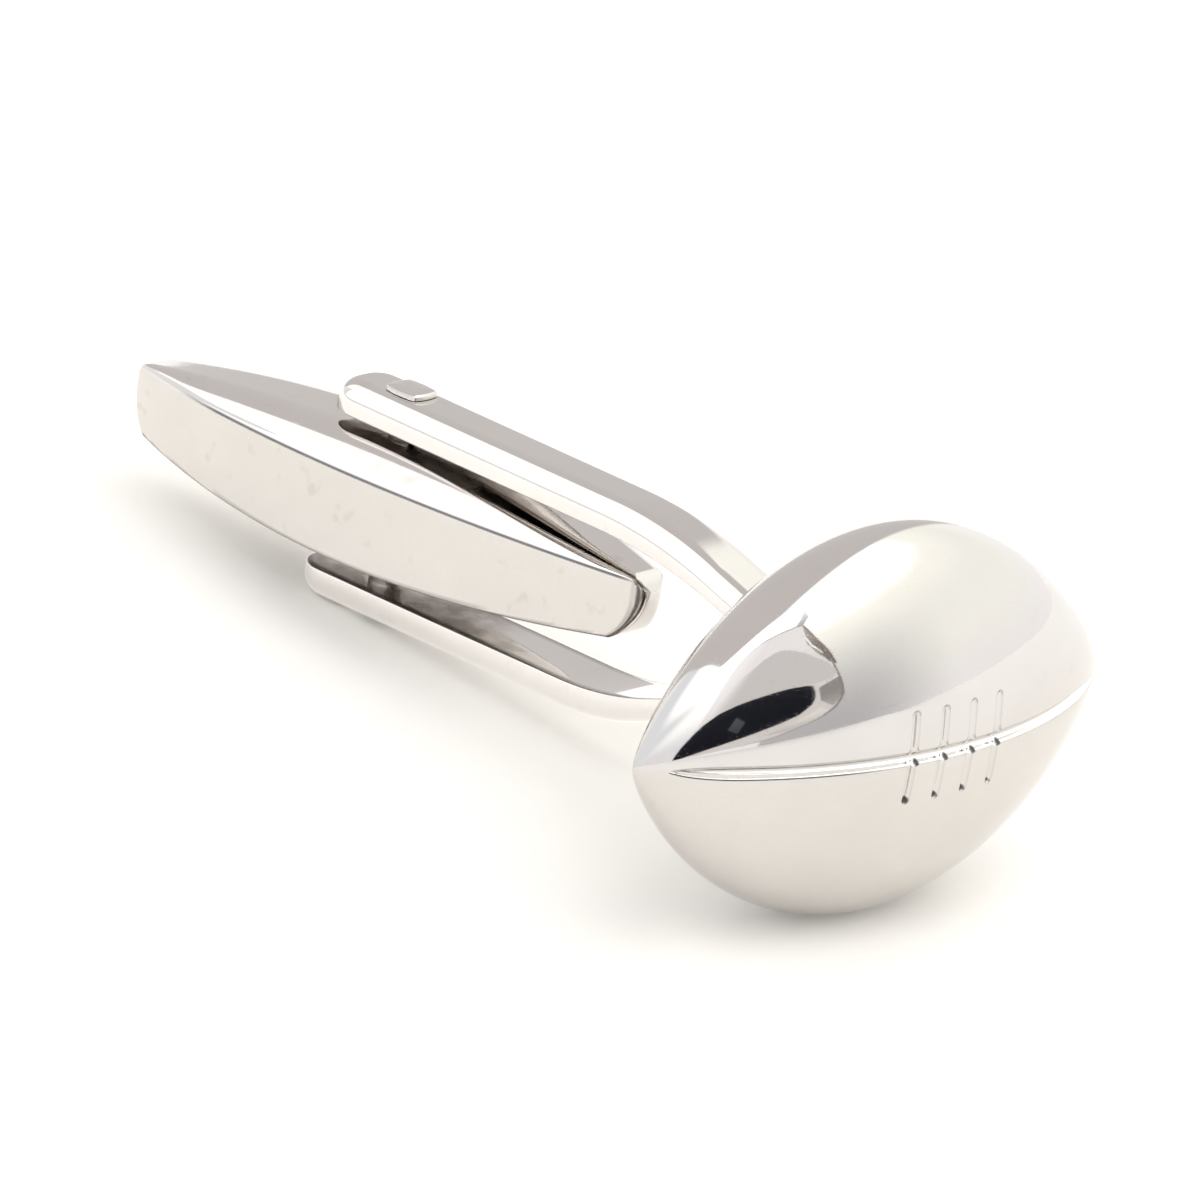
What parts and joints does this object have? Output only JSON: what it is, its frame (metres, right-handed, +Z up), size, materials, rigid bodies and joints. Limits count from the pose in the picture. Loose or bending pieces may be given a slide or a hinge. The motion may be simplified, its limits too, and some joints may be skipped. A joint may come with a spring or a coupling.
{
  "type": "rugby ball cufflink",
  "caption": "Polished metal cufflink with a flattened rugby ball head, engraved seam and laces, a forked post and a swivelling bullet shaped toggle",
  "frame": {"origin": "Middle of the bounding box on the surface that the cufflink lies on", "axes": "+X runs along the ball from tip to tip, +Y from the ball along the fork towards the toggle, +Z up from the surface. The fork leans down by about 7 degrees towards its free end, as it lies by itself"},
  "size_m": [0.016, 0.0268, 0.0097],
  "materials": {
    "ball_and_fork_plate": "polished silver coloured plating on solid metal",
    "rivet_plate": "polished silver coloured plating",
    "toggle_plate": "polished silver coloured plating with faint handling marks"
  },
  "bodies": {
    "head": {"ball_head_fork": "ball_and_fork_plate", "pivot_rivet": "rivet_plate"},
    "toggle": {"toggle_bar": "toggle_plate"}
  },
  "joints": [
    {"name": "toggle_swivel", "type": "hinge", "parent": "head", "child": "toggle", "pos_m": [0, 0.00501, 0.00299], "axis": [0, 0.1174, 0.9931], "range_deg": [-93, 87]}
  ]
}
